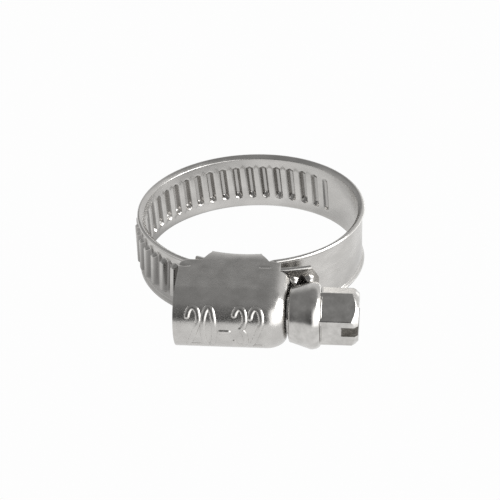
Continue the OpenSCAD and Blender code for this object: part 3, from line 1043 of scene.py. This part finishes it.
def makeFloor(s):
    # pale floor, evenly white to the camera; in reflections it has the clamp's soft shadow and a lit pool
    half, z = s["floorHalf"], cadLow.z / mm
    corners = np.array([[-half, -half, z], [half, -half, z], [half, half, z], [-half, half, z]])
    floor = makePiece("floor", corners, [[0, 1, 2, 3]])
    material = bpy.data.materials.new("paleFloor")
    material.use_nodes = True
    tree = material.node_tree
    tree.nodes.clear()
    place = addNode(tree, "ShaderNodeTexCoord")
    away = addNode(tree, "ShaderNodeVectorMath", {"operation": "LENGTH"}, {0: place.outputs["Object"]})
    split = addNode(tree, "ShaderNodeSeparateXYZ", inputs={"Vector": place.outputs["Object"]})
    near = addNode(tree, "ShaderNodeMapRange", {"interpolation_type": "SMOOTHSTEP"}, {
        "Value": away.outputs["Value"],
        "From Min": s["shadowReach"][0] * mm, "From Max": s["shadowReach"][1] * mm,
        "To Min": 1.0, "To Max": 0.0})
    outside = addNode(tree, "ShaderNodeMapRange", {"interpolation_type": "SMOOTHSTEP"}, {
        "Value": away.outputs["Value"],
        "From Min": seatRadius * mm * s["shadowHole"], "From Max": seatRadius * mm})
    toLeft = addNode(tree, "ShaderNodeMapRange", {"interpolation_type": "SMOOTHSTEP"}, {
        "Value": split.outputs["X"],
        "From Min": s["shadowTurn"][0] * mm, "From Max": s["shadowTurn"][1] * mm,
        "To Min": s["shadowLeft"], "To Max": s["shadowRight"]})
    ring = addNode(tree, "ShaderNodeMath", {"operation": "MULTIPLY"}, {
        0: near.outputs["Result"], 1: outside.outputs["Result"]})
    around = addNode(tree, "ShaderNodeMath", {"operation": "MULTIPLY"}, {
        0: ring.outputs["Value"], 1: toLeft.outputs["Result"]})
    toRight = addNode(tree, "ShaderNodeMapRange", {"interpolation_type": "SMOOTHSTEP"}, {
        "Value": split.outputs["X"],
        "From Min": s["insideTurn"][0] * mm, "From Max": s["insideTurn"][1] * mm,
        "To Min": 0.0, "To Max": s["shadowInside"]})
    shadow = addNode(tree, "ShaderNodeMix", {"data_type": "FLOAT"}, {
        0: outside.outputs["Result"], 2: toRight.outputs["Result"], 3: around.outputs["Value"]})
    lit = addNode(tree, "ShaderNodeMapRange", {"interpolation_type": "SMOOTHSTEP"}, {
        "Value": split.outputs["X"],
        "From Min": s["floorLit"][0] * mm, "From Max": s["floorLit"][1] * mm,
        "To Min": 1.0, "To Max": 1.0 + s["litGlow"]})
    reflected = addNode(tree, "ShaderNodeMath", {"operation": "SUBTRACT"}, {
        0: lit.outputs["Result"], 1: shadow.outputs[0]})
    path = addNode(tree, "ShaderNodeLightPath")
    shown = addNode(tree, "ShaderNodeMix", {"data_type": "FLOAT"}, {
        0: path.outputs["Is Camera Ray"], 2: reflected.outputs["Value"], 3: s["floorGlow"]})
    glow = addNode(tree, "ShaderNodeEmission", inputs={
        "Color": toLinear("#fbfbfb"), "Strength": shown.outputs[0]})
    addNode(tree, "ShaderNodeOutputMaterial", inputs={"Surface": glow.outputs[0]})
    paint(floor, material)


def makeSky(s):
    # grey room: dark behind the camera, lighter elsewhere and most to the left, a pale backdrop beyond the
    # clamp that fades out upwards and to the left, and a wide lamp to the right on the camera's side
    world = bpy.data.worlds.new("studioSky")
    bpy.context.scene.world = world
    world.use_nodes = True
    tree = world.node_tree
    tree.nodes.clear()
    way = addNode(tree, "ShaderNodeTexCoord")
    split = addNode(tree, "ShaderNodeSeparateXYZ", inputs={"Vector": way.outputs["Generated"]})
    room = addNode(tree, "ShaderNodeMapRange", inputs={
        "Value": split.outputs["Y"], "From Min": s["roomY"][0], "From Max": s["roomY"][1],
        "To Min": s["skyFront"], "To Max": s["skyBack"]})
    low = addNode(tree, "ShaderNodeMapRange", {"interpolation_type": "SMOOTHSTEP"}, {
        "Value": split.outputs["Z"], "From Min": s["backdropZ"][0], "From Max": s["backdropZ"][1],
        "To Min": 1.0, "To Max": 0.0})
    beyond = addNode(tree, "ShaderNodeMapRange", {"interpolation_type": "SMOOTHSTEP"}, {
        "Value": split.outputs["Y"], "From Min": s["backdropY"][0], "From Max": s["backdropY"][1]})
    notLeft = addNode(tree, "ShaderNodeMapRange", {"interpolation_type": "SMOOTHSTEP"}, {
        "Value": split.outputs["X"], "From Min": s["backdropX"][0], "From Max": s["backdropX"][1]})
    lowBeyond = addNode(tree, "ShaderNodeMath", {"operation": "MULTIPLY"}, {
        0: low.outputs["Result"], 1: beyond.outputs["Result"]})
    backdrop = addNode(tree, "ShaderNodeMath", {"operation": "MULTIPLY"}, {
        0: lowBeyond.outputs["Value"], 1: notLeft.outputs["Result"]})
    fill = addNode(tree, "ShaderNodeMapRange", {"interpolation_type": "SMOOTHSTEP"}, {
        "Value": split.outputs["X"], "From Min": s["fillX"][0], "From Max": s["fillX"][1],
        "To Min": s["skyFill"], "To Max": 0.0})
    dim = addNode(tree, "ShaderNodeMath", {"operation": "ADD"}, {
        0: room.outputs["Result"], 1: fill.outputs["Result"]})
    grey = addNode(tree, "ShaderNodeMix", {"data_type": "FLOAT"}, {
        0: backdrop.outputs["Value"], 2: dim.outputs["Value"], 3: s["skyBackdrop"]})
    towards = addNode(tree, "ShaderNodeMapRange", {"interpolation_type": "SMOOTHSTEP"}, {
        "Value": split.outputs["X"], "From Min": s["lampX"][0], "From Max": s["lampX"][1]})
    nearSide = addNode(tree, "ShaderNodeMapRange", {"interpolation_type": "SMOOTHSTEP"}, {
        "Value": split.outputs["Y"], "From Min": s["lampY"][0], "From Max": s["lampY"][1],
        "To Min": 1.0, "To Max": 0.0})
    below = addNode(tree, "ShaderNodeMapRange", {"interpolation_type": "SMOOTHSTEP"}, {
        "Value": split.outputs["Z"], "From Min": s["lampZ"][0], "From Max": s["lampZ"][1],
        "To Min": 1.0, "To Max": 0.0})
    wide = addNode(tree, "ShaderNodeMath", {"operation": "MULTIPLY"}, {
        0: towards.outputs["Result"], 1: nearSide.outputs["Result"]})
    lamp = addNode(tree, "ShaderNodeMath", {"operation": "MULTIPLY"}, {
        0: wide.outputs["Value"], 1: below.outputs["Result"]})
    strength = addNode(tree, "ShaderNodeMix", {"data_type": "FLOAT"}, {
        0: lamp.outputs["Value"], 2: grey.outputs[0], 3: s["skySide"]})
    sky = addNode(tree, "ShaderNodeBackground", inputs={
        "Color": toLinear("#f4f4f4"), "Strength": strength.outputs[0]})
    addNode(tree, "ShaderNodeOutputWorld", inputs={"Surface": sky.outputs[0]})


def softbox(name, place, target, width, height, power):
    light = bpy.data.lights.new(name, "AREA")
    light.shape = "RECTANGLE"
    light.size = width * mm
    light.size_y = height * mm
    light.energy = power
    box = bpy.data.objects.new(name, light)
    aim = Vector(target) - Vector(place)
    box.rotation_euler = aim.to_track_quat("-Z", "Y").to_euler()
    box.location = Vector(place) * mm
    bpy.context.scene.collection.objects.link(box)


makeFloor(studio)
makeSky(studio)
softbox("rightBox", (420, -60, 190), (0, 0, 0), 320, 300, studio["sideLight"])
bpy.context.scene.view_settings.view_transform = "Standard"
print("studio made")
